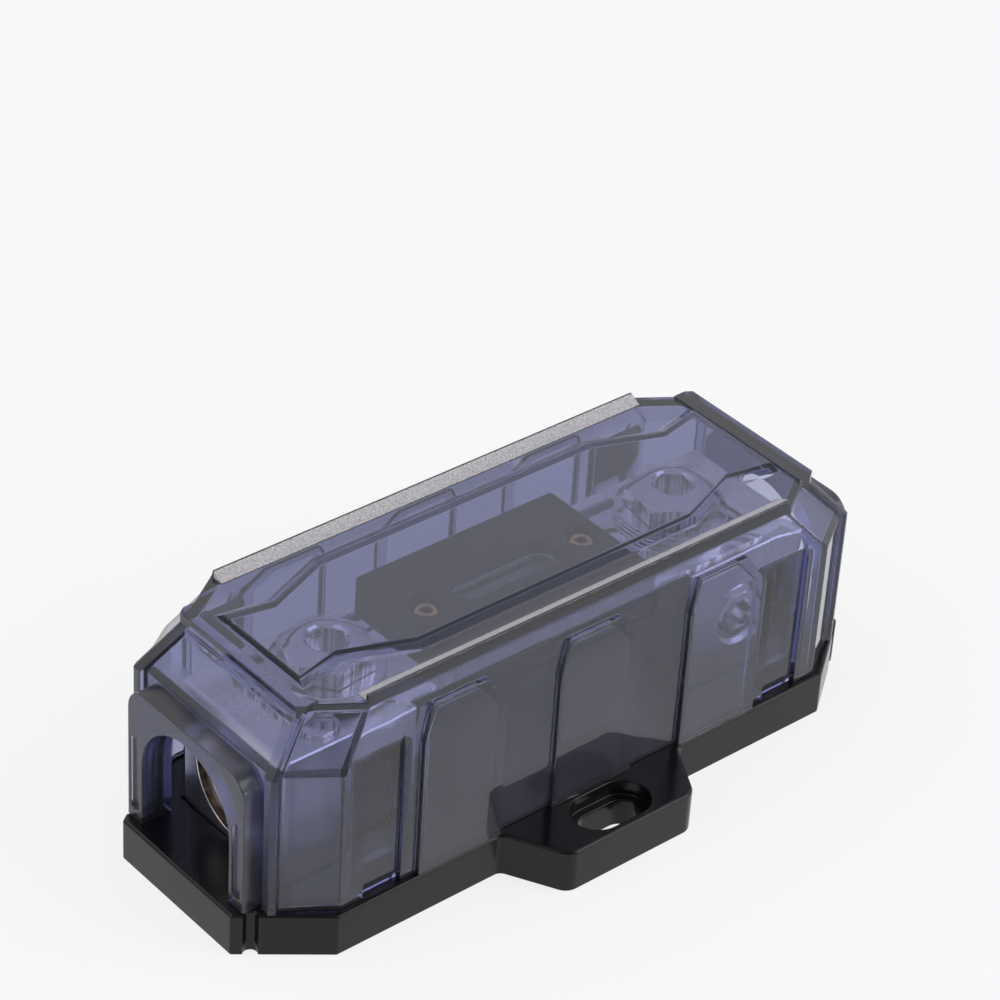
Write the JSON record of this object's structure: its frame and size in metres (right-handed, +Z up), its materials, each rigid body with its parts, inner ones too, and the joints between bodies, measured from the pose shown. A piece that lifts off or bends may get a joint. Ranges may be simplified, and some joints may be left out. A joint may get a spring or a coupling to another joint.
{
  "type": "strip fuse holder",
  "caption": "Bolt-down strip fuse in a black base, between plated terminal blocks that clamp cables with set screws, under a smoky clear cover that lifts off.",
  "frame": {"origin": "middle of the base's underside", "axes": "+X along the holder towards the right terminal, -Y towards the picture's viewer, +Z up"},
  "size_m": [0.11, 0.0584, 0.0378],
  "materials": {
    "black_plastic": "semi-gloss moulded plastic",
    "satin_nickel": "satin brushed nickel plate",
    "polished_nickel": "polished nickel plate",
    "zinc_steel": "zinc-plated steel",
    "brass": "bright brass",
    "fuse_strip": "nickel-plated strip",
    "fuse_case": "satin moulded plastic",
    "clear_pane": "clear plastic",
    "smoky_plastic": "smoky violet-blue clear plastic, glossy"
  },
  "bodies": {
    "base": {"base": "black_plastic", "terminal_block_left": "satin_nickel", "terminal_block_right": "satin_nickel", "block_screw_left": "zinc_steel", "block_screw_right": "zinc_steel", "flat_washer_left": "polished_nickel", "flat_washer_right": "polished_nickel", "spring_washer_left": "polished_nickel", "spring_washer_right": "polished_nickel", "fuse_rivet_left": "brass", "fuse_rivet_right": "brass", "fuse_element": "fuse_strip", "fuse_body_upper": "fuse_case", "fuse_body_lower": "fuse_case", "fuse_window_upper": "clear_pane", "fuse_window_lower": "clear_pane"},
    "cover": {"cover": "smoky_plastic"},
    "fuse_bolt_left": {"fuse_bolt_left": "polished_nickel"},
    "fuse_bolt_right": {"fuse_bolt_right": "polished_nickel"},
    "set_screw_left": {"set_screw_left": "polished_nickel"},
    "set_screw_right": {"set_screw_right": "polished_nickel"}
  },
  "joints": [
    {"name": "cover_lift", "type": "slide", "parent": "base", "child": "cover", "axis": [0, 0, 1], "range_m": [0, 0.062]},
    {"name": "fuse_bolt_left_turn", "type": "hinge", "parent": "base", "child": "fuse_bolt_left", "pos_m": [-0.03075, 0, 0.03], "axis": [0, 0, 1], "continuous": true},
    {"name": "fuse_bolt_right_turn", "type": "hinge", "parent": "base", "child": "fuse_bolt_right", "pos_m": [0.03075, 0, 0.03], "axis": [0, 0, 1], "continuous": true},
    {"name": "set_screw_left_travel", "type": "slide", "parent": "base", "child": "set_screw_left", "axis": [0, -1, 0], "range_m": [0, 0.003]},
    {"name": "set_screw_right_travel", "type": "slide", "parent": "base", "child": "set_screw_right", "axis": [0, 1, 0], "range_m": [0, 0.003]}
  ]
}
